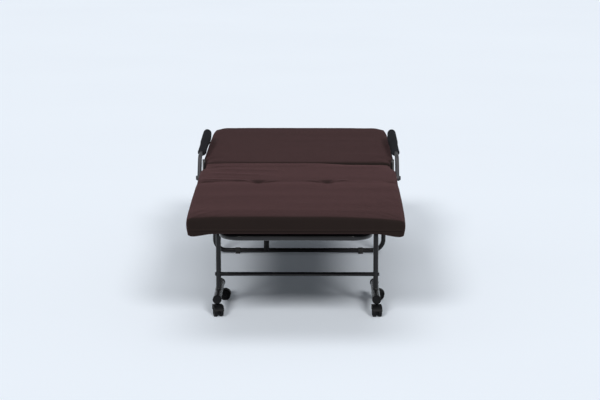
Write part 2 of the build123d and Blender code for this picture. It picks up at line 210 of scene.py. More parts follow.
def new_piece(name, bm):
    """An object at the origin from a bmesh."""
    mesh = bpy.data.meshes.new(name)
    bm.to_mesh(mesh)
    bm.free()
    piece = bpy.data.objects.new(name, mesh)
    bpy.context.scene.collection.objects.link(piece)
    return piece


def bake_modifiers(piece):
    """Keep the shape that the modifiers give, and take them off."""
    graph = bpy.context.evaluated_depsgraph_get()
    shaped = bpy.data.meshes.new_from_object(piece.evaluated_get(graph))
    piece.modifiers.clear()
    old = piece.data
    piece.data = shaped
    bpy.data.meshes.remove(old)


def shade_smooth(piece):
    """Shade every face of a piece smoothly."""
    piece.data.polygons.foreach_set("use_smooth", [True] * len(piece.data.polygons))


def dress(piece, material, body):
    """Give a piece its material and its body."""
    piece.data.materials.clear()
    piece.data.materials.append(material)
    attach(piece, body)


class Finish:
    """A procedural material and the nodes that feed it."""

    def __init__(self, name, colour, roughness, metallic=0.0):
        self.material = bpy.data.materials.new(name)
        self.material.use_nodes = True
        self.tree = self.material.node_tree
        self.shader = self.tree.nodes["Principled BSDF"]
        self.set("Base Color", (*colour, 1))
        self.set("Roughness", roughness)
        self.set("Metallic", metallic)
        place = self.tree.nodes.new("ShaderNodeTexCoord")
        self.object_place = place.outputs["Object"]
        self.uv_place = place.outputs["UV"]

    def set(self, socket, value):
        """Set a constant on the shader's own socket."""
        self.shader.inputs[socket].default_value = value

    def feed(self, socket, output):
        """Link a pattern to one of the shader's sockets."""
        self.tree.links.new(output, self.shader.inputs[socket])

    def node(self, kind, links=None, values=None, **settings):
        made = self.tree.nodes.new("ShaderNode" + kind)
        for name, value in settings.items():
            setattr(made, name, value)
        for socket, value in (values or {}).items():
            made.inputs[socket].default_value = value
        for socket, output in (links or {}).items():
            self.tree.links.new(output, made.inputs[socket])
        return made

    def noise(self, scale, detail=2.0, roughness=0.5, place=None):
        made = self.node(
            "TexNoise",
            {"Vector": place or self.object_place},
            {"Scale": scale, "Detail": detail, "Roughness": roughness},
        )
        return made.outputs["Fac"]

    def bands(self, direction, scale, distortion=0.0, place=None):
        made = self.node(
            "TexWave",
            {"Vector": place or self.object_place},
            {"Scale": scale, "Distortion": distortion, "Detail": 1.0},
            bands_direction=direction,
        )
        return made.outputs["Fac"]

    def math(self, operation, first, second):
        made = self.node("Math", operation=operation)
        for socket, value in zip(made.inputs, (first, second)):
            if isinstance(value, (int, float)):
                socket.default_value = value
            else:
                self.tree.links.new(value, socket)
        return made.outputs[0]

    def apart(self, first, second):
        """How far two values are apart."""
        return self.math("ABSOLUTE", self.math("SUBTRACT", first, second), 0)

    def spread(self, value, low, high, start=0.0, end=1.0):
        """Map a value from start..end to low..high."""
        made = self.node(
            "MapRange",
            {"Value": value},
            {"From Min": start, "From Max": end, "To Min": low, "To Max": high},
        )
        return made.outputs["Result"]

    def tint(self, value, low, high, start=0.0, end=1.0):
        """A colour between two, by a value."""
        ramp = self.node("ValToRGB", {"Fac": value})
        ramp.color_ramp.elements[0].position = start
        ramp.color_ramp.elements[0].color = (*low, 1)
        ramp.color_ramp.elements[1].position = end
        ramp.color_ramp.elements[1].color = (*high, 1)
        return ramp.outputs["Color"]

    def over(self, amount, under, upper, blend="MIX"):
        """One colour laid over another."""
        mix = self.node("Mix", data_type="RGBA", blend_type=blend)
        # A colour mix has its factor at input 0, its colours at 6 and 7 and its result at 2
        for at, value in ((0, amount), (6, under), (7, upper)):
            if isinstance(value, bpy.types.NodeSocket):
                self.tree.links.new(value, mix.inputs[at])
            else:
                mix.inputs[at].default_value = value
        return mix.outputs[2]

    def relief(self, height, strength, distance):
        """Fine relief, too small to model."""
        made = self.node("Bump", {"Height": height}, {"Strength": strength, "Distance": distance})
        self.feed("Normal", made.outputs["Normal"])


def scaled(colour, factor):
    """A colour made lighter or darker."""
    return tuple(min(1.0, channel * factor) for channel in colour)


def cover_cloth(name, sheen):
    """Dark brown plain weave with a slight slub and soft fading."""
    brown = tuple(colours().cover)
    finish = Finish(name, brown, 0.86)
    thread_scale, check_scale, waver = 240.0, 764.0, 0.4
    warp = finish.bands("X", thread_scale, waver, finish.uv_place)
    weft = finish.bands("Y", thread_scale, waver, finish.uv_place)
    checks = finish.node("TexChecker", {"Vector": finish.uv_place}, {"Scale": check_scale})
    over_warp = finish.math("MULTIPLY", warp, checks.outputs["Fac"])
    under = finish.math("SUBTRACT", 1.0, checks.outputs["Fac"])
    over_weft = finish.math("MULTIPLY", weft, under)
    weave = finish.math("ADD", over_warp, over_weft)
    slub = finish.noise(420, 3, 0.6, finish.uv_place)
    fade = finish.noise(5.5, 3, 0.55)
    tone = finish.tint(fade, scaled(brown, 0.88), scaled(brown, 1.13), 0.32, 0.7)
    gaps = finish.tint(weave, (0.74, 0.72, 0.72), (1.0, 1.0, 1.0), 0.0, 0.55)
    shade = finish.over(1.0, tone, gaps, "MULTIPLY")
    flecks = finish.spread(slub, 0.0, 0.22, 0.52, 0.8)
    flecked = finish.over(flecks, shade, (*scaled(brown, 1.9), 1))
    parts = finish.node("SeparateXYZ", {"Vector": finish.object_place}).outputs
    groove = finish.spread(finish.apart(parts["Z"], SEAM_Z), 1.0, 0.0, 0.0003, 0.0016)
    row = finish.spread(finish.apart(parts["Z"], STITCH_Z), 1.0, 0.0, 0.0004, 0.0011)
    stitches_per_metre, gap_share = 210.0, 0.34
    run = finish.math("ADD", parts["X"], parts["Y"])
    count = finish.math("MULTIPLY", run, stitches_per_metre)
    dash = finish.math("GREATER_THAN", finish.math("FRACT", count, 0), gap_share)
    stitch = finish.math("MULTIPLY", row, dash)
    # The seam's groove is painted darker, to a third of the brown: painted shade in the groove
    groove_shaded = finish.over(groove, flecked, (*scaled(brown, 0.35), 1))
    finish.feed("Base Color", finish.over(stitch, groove_shaded, (*scaled(brown, 1.7), 1)))
    finish.feed("Roughness", finish.spread(fade, 0.8, 0.93))
    finish.set("Sheen Weight", sheen)
    finish.set("Sheen Roughness", 0.56)
    finish.set("Sheen Tint", (0.68, 0.326, 0.36, 1))
    finish.set("Specular IOR Level", 0.1)
    height = finish.math("ADD", weave, finish.math("MULTIPLY", slub, 0.5))
    raised = finish.math("MULTIPLY", stitch, 2.0)
    sunk = finish.math("MULTIPLY", groove, 5.0)
    sewn = finish.math("SUBTRACT", raised, sunk)
    finish.relief(finish.math("ADD", height, sewn), 0.45, 0.0004)
    return finish.material


def tube_paint(name, charcoal):
    """Glossy charcoal coat: orange peel, slight tone changes, a few scuffs."""
    finish = Finish(name, charcoal, 0.34)
    peel = finish.noise(700, 2)
    patch = finish.noise(9, 3)
    tone = finish.tint(patch, scaled(charcoal, 0.85), scaled(charcoal, 1.15), 0.35, 0.7)
    scuff = finish.spread(finish.noise(60, 6, 0.72), 0.0, 0.5, 0.66, 0.78)
    finish.feed("Base Color", finish.over(scuff, tone, (*scaled(charcoal, 2.0), 1)))
    finish.feed("Roughness", finish.spread(patch, 0.16, 0.26))
    finish.set("Specular IOR Level", 0.27)
    finish.relief(peel, 0.12, 0.0004)
    return finish.material


def plate_paint():
    """Satin black on pressed plate, with rubbed spots."""
    black = tuple(colours().plates)
    finish = Finish("plate_paint", black, 0.46)
    patch = finish.noise(40, 4, 0.65)
    rub = finish.spread(finish.noise(130, 5, 0.7), 0.0, 0.55, 0.64, 0.8)
    tone = finish.tint(patch, scaled(black, 0.8), scaled(black, 1.25), 0.3, 0.7)
    finish.feed("Base Color", finish.over(rub, tone, (*scaled(black, 3.0), 1)))
    finish.feed("Roughness", finish.spread(patch, 0.38, 0.58))
    finish.relief(finish.noise(900, 2), 0.1, 0.0003)
    return finish.material


def black_zinc():
    """Dark plated steel of the fasteners, with faint turning marks."""
    dark = (0.05, 0.05, 0.054)
    finish = Finish("black_zinc", dark, 0.4, 0.85)
    rings = finish.bands("Z", 300, 3.0)
    patch = finish.noise(80, 4)
    finish.feed("Base Color", finish.tint(patch, scaled(dark, 0.7), scaled(dark, 1.5), 0.3, 0.75))
    finish.feed("Roughness", finish.spread(patch, 0.3, 0.52))
    finish.relief(rings, 0.06, 0.0002)
    return finish.material


def moulded_plastic():
    """Spark-eroded black plastic of caps, sockets and hoods."""
    black = tuple(colours().plastic)
    finish = Finish("moulded_plastic", black, 0.5)
    grain = finish.noise(1500, 3, 0.6)
    patch = finish.noise(55, 4)
    finish.feed("Base Color", finish.tint(patch, scaled(black, 0.8), scaled(black, 1.5), 0.3, 0.75))
    finish.feed("Roughness", finish.spread(patch, 0.4, 0.58))
    finish.set("Specular IOR Level", 0.09)
    finish.relief(grain, 0.18, 0.0003)
    return finish.material


def wheel_plastic():
    """Black wheels with dust rubbed into the tread."""
    black = tuple(colours().plastic)
    finish = Finish("wheel_plastic", black, 0.45)
    dust = finish.spread(finish.noise(160, 6, 0.7), 0.0, 0.6, 0.5, 0.75)
    patch = finish.noise(70, 3)
    tone = finish.tint(patch, scaled(black, 0.9), scaled(black, 1.6), 0.3, 0.7)
    finish.feed("Base Color", finish.over(dust, tone, (0.018, 0.0175, 0.0165, 1)))
    finish.feed("Roughness", finish.spread(patch, 0.34, 0.6))
    finish.set("Specular IOR Level", 0.09)
    finish.relief(finish.noise(900, 4), 0.15, 0.0003)
    return finish.material


def foam_skin():
    """Closed-cell foam: fine pores and a dull bloom."""
    black = tuple(colours().foam)
    finish = Finish("foam_skin", black, 0.78)
    pores = finish.node("TexVoronoi", {"Vector": finish.object_place}, {"Scale": 900.0})
    bloom = finish.noise(26, 4, 0.6)
    finish.feed("Base Color", finish.tint(bloom, scaled(black, 0.8), scaled(black, 1.9), 0.35, 0.8))
    finish.feed("Roughness", finish.spread(bloom, 0.68, 0.9))
    finish.set("Specular IOR Level", 0.2)
    finish.relief(pores.outputs["Distance"], 0.3, 0.0004)
    return finish.material


def dull_rubber():
    """Matte rubber with a fine grain and pale scuffs."""
    black = (0.011, 0.011, 0.0115)
    finish = Finish("dull_rubber", black, 0.8)
    scuff = finish.spread(finish.noise(120, 6, 0.7), 0.0, 0.5, 0.58, 0.8)
    finish.feed("Base Color", finish.over(scuff, (*black, 1), (0.04, 0.039, 0.037, 1)))
    finish.feed("Roughness", finish.spread(finish.noise(60), 0.7, 0.92))
    finish.relief(finish.noise(1200, 3), 0.2, 0.0003)
    return finish.material


def strap_tape():
    """Black tape with a twill rib."""
    black = (0.016, 0.016, 0.017)
    finish = Finish("strap_tape", black, 0.75)
    twill_angle = math.radians(38)
    turned = finish.node("Mapping", {"Vector": finish.uv_place}, {"Rotation": (0, 0, twill_angle)})
    rib = finish.bands("X", 210, 0.3, turned.outputs["Vector"])
    finish.feed("Base Color", finish.tint(rib, scaled(black, 0.55), scaled(black, 1.6), 0.1, 0.9))
    finish.feed("Roughness", finish.spread(rib, 0.85, 0.66))
    finish.set("Sheen Weight", 0.1)
    finish.relief(rib, 0.5, 0.0005)
    return finish.material


def sewing_thread():
    """Brown thread, darker than the cover."""
    brown = scaled(tuple(colours().cover), 0.55)
    finish = Finish("sewing_thread", brown, 0.7)
    twist = finish.bands("X", 500, 1.0)
    finish.feed("Base Color", finish.tint(twist, scaled(brown, 0.6), scaled(brown, 1.4), 0.1, 0.9))
    finish.relief(twist, 0.4, 0.0003)
    return finish.material


def weld_metal():
    """Painted weld bead with its ripples."""
    charcoal = scaled(tuple(colours().paint), 0.85)
    finish = Finish("weld_metal", charcoal, 0.42)
    ripple = finish.bands("DIAGONAL", 90, 4.0)
    finish.feed("Base Color", finish.tint(ripple, scaled(charcoal, 0.7), scaled(charcoal, 1.3)))
    finish.feed("Roughness", finish.spread(finish.noise(200), 0.34, 0.52))
    finish.relief(ripple, 0.4, 0.0005)
    return finish.material


def lay_uv(piece):
    """A UV map in metres, each face seen along the axis that it faces most."""
    mesh = piece.data
    layer = mesh.uv_layers.get("cloth") or mesh.uv_layers.new(name="cloth")
    for face in mesh.polygons:
        facing = [abs(part) for part in face.normal]
        flat = facing.index(max(facing))
        first, second = ((1, 2), (0, 2), (0, 1))[flat]
        for corner in face.loop_indices:
            place = mesh.vertices[mesh.loops[corner].vertex_index].co
            layer.data[corner].uv = (place[first], place[second])


def foam_block(name, low, high, near_corner, far_corner, arris, voxel):
    """A block with rounded corners and edges, remeshed into an even cover."""
    bm = bmesh.new()
    bmesh.ops.create_cube(bm, size=1)
    bmesh.ops.scale(bm, vec=high - low, verts=bm.verts)
    bmesh.ops.translate(bm, vec=(low + high) / 2, verts=bm.verts)

    def rounded(edges, radius):
        bmesh.ops.bevel(
            bm, geom=edges, offset=radius, segments=4, profile=0.5, affect="EDGES", material=-1
        )

    def upright(end_y):
        return [
            edge for edge in bm.edges
            if all(abs(vert.co.y - end_y) < 1e-6 for vert in edge.verts)
            and abs(edge.verts[0].co.z - edge.verts[1].co.z) > 1e-3
        ]

    rounded(upright(low.y), near_corner)
    rounded(upright(high.y), far_corner)
    level = [edge for edge in bm.edges if abs(edge.verts[0].co.z - edge.verts[1].co.z) < 1e-6]
    rounded(level, arris)
    piece = new_piece(name, bm)
    remesh = piece.modifiers.new("cover", "REMESH")
    remesh.mode = "VOXEL"
    remesh.voxel_size = voxel
    bake_modifiers(piece)
    return piece


def let_settle(piece, held, limit):
    """Let the cover settle over its filling with Blender's cloth, then keep the result."""
    scene = bpy.context.scene
    start = [vert.co.copy() for vert in piece.data.vertices]
    group = piece.vertex_groups.new(name="held")
    group.add(held, 1.0, "REPLACE")
    cloth = piece.modifiers.new("cover", "CLOTH")
    settings = cloth.settings
    settings.quality = 4
    settings.mass = 0.3
    settings.tension_stiffness = 25
    settings.compression_stiffness = 25
    settings.bending_stiffness = 2.5
    settings.shrink_min = -sizes().cover_slack
    settings.use_pressure = True
    settings.uniform_pressure_force = sizes().filling_pressure
    settings.effector_weights.gravity = 0
    settings.vertex_group_mass = group.name
    cloth.point_cache.frame_start = 1
    cloth.point_cache.frame_end = sizes().settle_frames
    for step in range(1, sizes().settle_frames + 1):
        scene.frame_set(step)
    graph = bpy.context.evaluated_depsgraph_get()
    settled = [vert.co.copy() for vert in piece.evaluated_get(graph).data.vertices]
    piece.modifiers.clear()
    piece.vertex_groups.clear()
    scene.frame_set(1)
    for vert, before, after in zip(piece.data.vertices, start, settled):
        move = after - before
        if move.length > limit:
            move *= limit / move.length
        vert.co = before + move


# Half width and top along each cushion: y, value
NEAR_HALF = [
    (-0.940, 0.3232), (-0.90, 0.3240), (-0.80, 0.3250), (-0.60, 0.3258), (-0.348, 0.3260),
    (-0.15, 0.3282), (-0.085, 0.3280), (-0.060, 0.3240), (-0.038, 0.3148), (0.043, 0.3145),
]
NEAR_TOP = [
    (-0.940, 0.3832), (-0.90, 0.3844), (-0.84, 0.3864), (-0.60, 0.3914), (-0.43, 0.3938),
    (-0.348, 0.3915), (-0.26, 0.3935), (-0.06, 0.3945), (0.043, 0.3965),
]
FAR_HALF = [
    (0.043, 0.3145), (0.122, 0.3148), (0.150, 0.3255), (0.22, 0.3310), (0.595, 0.3318),
    (0.79, 0.3302), (0.86, 0.3280), (0.91, 0.3258), (0.940, 0.3225),
]
FAR_TOP = [
    (0.043, 0.3968), (0.10, 0.3965), (0.30, 0.3955), (0.60, 0.3958), (0.88, 0.3985),
    (0.940, 0.3985),
]

# Radii of each cushion's upright corners: at its low y, at its high y
NEAR_CORNERS = (0.010, 0.006)
FAR_CORNERS = (0.006, 0.022)

# Forms of the covers, as lengths
SIDE_BULGE = 0.003
TOP_CROWN = 0.003
END_TUCK = 0.0045
RIGHT_HANG = 0.0095
LEFT_HANG = 0.0085
HANG_LESS_ON_TOP = 0.0060
RIGHT_DROOP = 0.0050
FAR_CORNER_DROOP = 0.003
TUFT_REACH = 0.019
TUFT_REACH_BEHIND = 0.013
TUFT_REACH_BEFORE = 0.030
CHANNEL_REACH = 0.011
CREASE_REACH = 0.018
UNREST = 0.0009

# Where the forms begin and where they are full: across is in x, along in y
END_TUCK_ALONG = (-0.80, -0.93)
HANG_ACROSS, HANG_ALONG = (0.245, 0.318), (-0.875, -0.93)
DROOP_ACROSS, DROOP_ALONG = (0.08, 0.32), (-0.70, -0.93)
STEP_ACROSS, STEP_ALONG = (0.06, 0.20), (-0.045, 0.02)
FAR_DROOP_ACROSS, FAR_DROOP_ALONG = (0.295, 0.325), (0.82, 0.94)
CREASE_OPENS_ACROSS = (0.03, 0.19)

# Soft folds of the covers: from (x, y) to (x, y), width, height
NEAR_FOLDS = [
    (-0.31, -0.300, -0.16, -0.335, 0.012, 0.0024),
    (-0.20, -0.330, -0.135, -0.347, 0.008, 0.0030),
    (-0.118, -0.350, -0.06, -0.335, 0.008, 0.0028),
    (0.035, -0.336, 0.090, -0.350, 0.008, 0.0028),
    (0.104, -0.346, 0.160, -0.322, 0.009, 0.0030),
    (0.150, -0.345, 0.300, -0.350, 0.011, 0.0016),
    (-0.30, -0.185, -0.10, -0.235, 0.018, 0.0018),
    (-0.29, -0.10, -0.06, -0.13, 0.020, 0.0016),
    (-0.31, -0.035, 0.02, -0.022, 0.014, 0.0022),
    (0.05, -0.06, 0.30, -0.05, 0.022, 0.0012),
    (-0.28, -0.62, 0.10, -0.60, 0.05, 0.0012),
    (-0.05, -0.76, 0.27, -0.74, 0.05, 0.0011),
    (0.10, -0.50, 0.30, -0.47, 0.04, 0.0012),
]
FAR_FOLDS = [
    (-0.30, 0.095, 0.04, 0.085, 0.014, 0.0020),
    (0.0, 0.105, 0.29, 0.10, 0.018, 0.0014),
    (-0.24, 0.34, 0.12, 0.31, 0.04, 0.0013),
    (0.02, 0.20, 0.30, 0.22, 0.035, 0.0012),
    (-0.10, 0.62, 0.26, 0.60, 0.05, 0.0012),
]


def fold_height(folds, x, y):
    """How far the cover stands up at a place on its top."""
    total = 0.0
    for x0, y0, x1, y1, width, height in folds:
        run = Vector((x1 - x0, y1 - y0))
        t = ((x - x0) * run.x + (y - y0) * run.y) / run.length_squared
        if -0.2 < t < 1.2:
            off = ((x - x0) * run.y - (y - y0) * run.x) / run.length
            taper = smooth(-0.2, 0.25, t) * (1 - smooth(0.75, 1.2, t))
            total += height * taper * math.exp(-((off / width) ** 2))
    return total


def crease_fill(x):
    """How full the covers are at the crease: soft on the left, open on the right."""
    return 0.85 * (1 - 0.8 * smooth(*CREASE_OPENS_ACROSS, x))


class COT_OT_cushions(bpy.types.Operator):
    """Make the two covered foam cushions"""

    bl_idname = "cot.cushions"
    bl_label = "Cushions"

    def shape_near(self, place, x, y, up):
        """Lower the near cover at its corners, step and tufts, and tell where it is sewn."""
        hang = smooth(*HANG_ACROSS, abs(x)) * smooth(*HANG_ALONG, y)
        place.z -= hang * ((RIGHT_HANG if x > 0 else LEFT_HANG) - HANG_LESS_ON_TOP * up)
        place.z -= RIGHT_DROOP * up * smooth(*DROOP_ACROSS, x) * smooth(*DROOP_ALONG, y)
        step = smooth(*STEP_ACROSS, x) * smooth(*STEP_ALONG, y)
        place.z -= up * sizes().crease_step * step
        sewn = False
        for tuft in TUFTS:
            beside = (x - tuft) / TUFT_REACH
            before = (y - TUFT_Y) / (TUFT_REACH_BEHIND if y > TUFT_Y else TUFT_REACH_BEFORE)
            pull = math.exp(-(beside ** 2) - before ** 2)
            place.z -= up * sizes().tuft_depth * pull
            sewn = sewn or (pull > 0.6 and up > 0.8)
        line = math.exp(-(((y - TUFT_Y) / CHANNEL_REACH) ** 2))
        place.z -= up * sizes().channel_depth * line
        return sewn

    def shape_far(self, place, x, y, up):
        """Lower the far cover at its far corners; nothing is sewn down."""
        droop = smooth(*FAR_DROOP_ACROSS, abs(x)) * smooth(*FAR_DROOP_ALONG, y)
        place.z -= FAR_CORNER_DROOP * up * droop
        return False

    def make(self, name, y_low, y_high, corners, halves, tops, folds, shape):
        """A foam block, shaped by its tables, with its cover settled and folded over it."""
        half = max(value for _, value in halves)
        top = max(value for _, value in tops)
        bottom = CUSHION_BOTTOM
        low = Vector((-half, y_low, bottom))
        high = Vector((half, y_high, top))
        piece = foam_block(name, low, high, *corners, sizes().arris, sizes().cover_mesh)
        held = []
        for index, vert in enumerate(piece.data.vertices):
            x, y, z = vert.co
            across = x / half
            up = (z - bottom) / (top - bottom)
            width = along(halves, y) - SIDE_BULGE * (2 * up - 1) ** 2
            width -= END_TUCK * (1 - up) ** 2 * smooth(*END_TUCK_ALONG, y)
            height = along(tops, y) - TOP_CROWN * abs(across) ** 6 - bottom
            fill = crease_fill(x) * (1 - smooth(0.0, CREASE_REACH, abs(y - PIN_Y)))
            lifted = up + (1 - up) * fill * smooth(0.55, 0.8, up)
            place = Vector((across * width, y, bottom + lifted * height))
            sewn = shape(place, x, y, up)
            vert.co = place
            if sewn or up < 0.08:
                held.append(index)
        let_settle(piece, held, sizes().swell_limit)
        for vert in piece.data.vertices:
            x, y, z = vert.co
            if z > top - 0.02:
                unrest = UNREST * noise.noise(Vector((x * 5.5, y * 5.5, 2.7)))
                # The covers stay below the pins' height where they fold onto each other
                ceiling = PIN_Z - 0.001 if abs(y - PIN_Y) < 0.5 else PIN_Z + 0.001
                vert.co.z = min(z + fold_height(folds, x, y) + unrest, ceiling)
            for room_low, room_high, room in SIDE_ROOM:
                if room_low < y < room_high:
                    vert.co.x = max(-room, min(room, vert.co.x))
        lay_uv(piece)
        shade_smooth(piece)
        finer = piece.modifiers.new("finer", "SUBSURF")
        finer.levels = finer.render_levels = 1
        return piece

    def execute(self, context):
        near = self.make(
            "near_cushion", -CUSHION_END, PIN_Y - CREASE_GAP, NEAR_CORNERS,
            NEAR_HALF, NEAR_TOP, NEAR_FOLDS, self.shape_near,
        )
        far = self.make(
            "far_cushion", PIN_Y + CREASE_GAP, CUSHION_END, FAR_CORNERS,
            FAR_HALF, FAR_TOP, FAR_FOLDS, self.shape_far,
        )
        # The near cover gets a stronger sheen than the far one, so that its top renders lighter:
        # painted light, standing in for the light falling off towards the far end
        for piece, node, body, sheen in (
            (near, "mattress_back", "back_frame", 0.131),
            (far, "mattress_foot", "foot_frame", 0.0895),
        ):
            dress(piece, cover_cloth(f"cover_{piece.name}", sheen), body)
            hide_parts(node)
        return {"FINISHED"}


class COT_OT_tuft_threads(bpy.types.Operator):
    """Make the crossed threads that hold the tufts"""

    bl_idname = "cot.tuft_threads"
    bl_label = "Tuft threads"

    def execute(self, context):
        near = bpy.data.objects["near_cushion"]
        radius, length = 0.0008, 0.015
        upper_side, close = 0.36, 0.012
        bm = bmesh.new()
        for tuft in TUFTS:
            around = [
                vert.co.z
                for vert in near.data.vertices
                if vert.co.z > upper_side
                and math.hypot(vert.co.x - tuft, vert.co.y - TUFT_Y) < close
            ]
            floor_z = sum(around) / len(around)
            for turn in (38, -38):
                made = bmesh.ops.create_cone(
                    bm, cap_ends=True, segments=8, radius1=radius, radius2=radius, depth=length
                )
                for vert in made["verts"]:
                    vert.co.x *= 1 + 0.25 * math.cos(vert.co.z * 400)
                bmesh.ops.rotate(
                    bm, cent=(0, 0, 0), verts=made["verts"],
                    matrix=Matrix.Rotation(math.radians(turn), 3, "Z")
                    @ Matrix.Rotation(math.radians(90), 3, "Y"),
                )
                bmesh.ops.translate(bm, vec=(tuft, TUFT_Y, floor_z + 0.0006), verts=made["verts"])
        piece = new_piece("tuft_threads", bm)
        shade_smooth(piece)
        dress(piece, sewing_thread(), "back_frame")
        return {"FINISHED"}


class COT_OT_grips(bpy.types.Operator):
    """Make the foam grips of the side arms"""

    bl_idname = "cot.grips"
    bl_label = "Foam grips"

    # Distance from the free end of the tube and radius, from the near end to the dome
    outline = [
        (-0.4050, 0.0071), (-0.4050, 0.0098), (-0.4043, 0.0112), (-0.4025, 0.0121),
        (-0.3980, 0.0125), (-0.3700, 0.0123), (-0.3200, 0.0121), (-0.2700, 0.0122),
        (-0.2380, 0.0126), (-0.2080, 0.0138), (-0.1850, 0.0144), (-0.1300, 0.0143),
        (-0.0700, 0.0144), (-0.0150, 0.0144), (-0.0040, 0.0141), (0.0025, 0.0128),
        (0.0065, 0.0100), (0.0084, 0.0060), (0.0090, 0.0),
    ]
    bore_clear = 0.009
    dent_share = 0.018
    # The foam is fuller on its inner and its upper side: share, and where that begins and is full
    inner_share, inner_more, inner_along = 1.12, 0.26, (0.0, -0.12)
    upper_more, upper_along = 0.14, (-0.24, -0.05)

    def execute(self, context):
        skin = foam_skin()
        run = (ARM_END - ARM_BEND).normalized()
        pitch = math.atan2(run.z, run.y)
        for side, sign in SIDES:
            bm = bmesh.new()
            profile = [bm.verts.new((0, at, radius)) for at, radius in self.outline]
            edges = [bm.edges.new(pair) for pair in zip(profile, profile[1:])]
            bmesh.ops.spin(
                bm, geom=profile + edges, cent=(0, 0, 0), axis=(0, 1, 0), angle=math.tau,
                steps=40, use_merge=True, use_duplicate=False,
            )
            bmesh.ops.remove_doubles(bm, verts=bm.verts, dist=1e-5)
            long_edges = [edge for edge in bm.edges if edge.calc_length() > 0.02]
            bmesh.ops.subdivide_edges(bm, edges=long_edges, cuts=3, use_grid_fill=True)
            bmesh.ops.recalc_face_normals(bm, faces=bm.faces)
            for vert in bm.verts:
                x, y, z = vert.co
                dent = noise.noise(Vector((x * 40, y * 22, z * 40 + sign)))
                if math.hypot(x, z) > self.bore_clear:
                    scale = 1 + self.dent_share * dent
                    vert.co.x *= scale
                    vert.co.z *= scale
                    if vert.co.x * sign < 0:
                        fuller = self.inner_more * smooth(*self.inner_along, y)
                        vert.co.x *= self.inner_share + fuller
                    if vert.co.z > 0:
                        vert.co.z *= 1 + self.upper_more * smooth(*self.upper_along, y)
            tilt = Matrix.Rotation(pitch, 3, "X")
            bmesh.ops.rotate(bm, cent=(0, 0, 0), matrix=tilt, verts=bm.verts)
            bmesh.ops.translate(bm, vec=(sign * ARM_X, ARM_END.y, ARM_END.z), verts=bm.verts)
            piece = new_piece(f"foam_grip_{side}", bm)
            shade_smooth(piece)
            dress(piece, skin, f"arm_{side}")
            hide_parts(f"arm_grip_{side}")
        return {"FINISHED"}


class COT_OT_strap(bpy.types.Operator):
    """Make the storage strap that hangs from the hinge bar"""

    bl_idname = "cot.strap"
    bl_label = "Storage strap"

    # The turn round the bar, in degrees, and the tail below it, in metres
    wrap_start, wrap_turn, wrap_steps = -12, 320, 18
    bar_clear = 0.0002
    tail_steps = 30
    tail_sway = 0.0018
    hem_lift = 0.012
    # The folded hem, from the tail's lowest point: y, z
    hem_fold = ((0.0012, -0.0004), (0.0021, 0.0010), (0.0021, 0.0180))

    def execute(self, context):
        low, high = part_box("storage_strap")
        bar_low, bar_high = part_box("hinge_crossbar")
        bar = (bar_low + bar_high) / 2
        radius = (bar_high.z - bar_low.z) / 2 + sizes().strap_thickness / 2 + self.bar_clear
        middle_x = (low.x + high.x) / 2
        tail_y = bar.y - radius
        path = []
        for step in range(self.wrap_steps + 1):
            turn = math.radians(self.wrap_start + step * self.wrap_turn / self.wrap_steps)
            path.append((bar.y - radius * math.cos(turn), bar.z + radius * math.sin(turn)))
        path.reverse()
        drop = bar.z - low.z - self.hem_lift
        for step in range(1, self.tail_steps + 1):
            at = step / self.tail_steps
            sway = self.tail_sway * math.sin(at * 7.0) * smooth(0.05, 0.4, at)
            path.append((tail_y + sway, bar.z - 0.003 - at * (drop - 0.004)))
        hem_y, hem_z = path[-1]
        path += [(hem_y + out, hem_z + rise) for out, rise in self.hem_fold]
        bm = bmesh.new()
        half = sizes().strap_width / 2
        start = [bm.verts.new((middle_x + side * half, *path[0])) for side in (-1, 1)]
        edge = bm.edges.new(start)
        for before, after in zip(path, path[1:]):
            made = bmesh.ops.extrude_edge_only(bm, edges=[edge])["geom"]
            verts = [item for item in made if isinstance(item, bmesh.types.BMVert)]
            bmesh.ops.translate(
                bm, vec=(0, after[0] - before[0], after[1] - before[1]), verts=verts
            )
            edge = next(
                item for item in made
                if isinstance(item, bmesh.types.BMEdge) and all(v in verts for v in item.verts)
            )
        bmesh.ops.recalc_face_normals(bm, faces=bm.faces)
        piece = new_piece("hanging_strap", bm)
        lay_uv(piece)
        shade_smooth(piece)
        thick = piece.modifiers.new("tape", "SOLIDIFY")
        thick.thickness = sizes().strap_thickness
        thick.offset = 0
        dress(piece, strap_tape(), "main_frame")
        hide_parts("storage_strap")
        return {"FINISHED"}


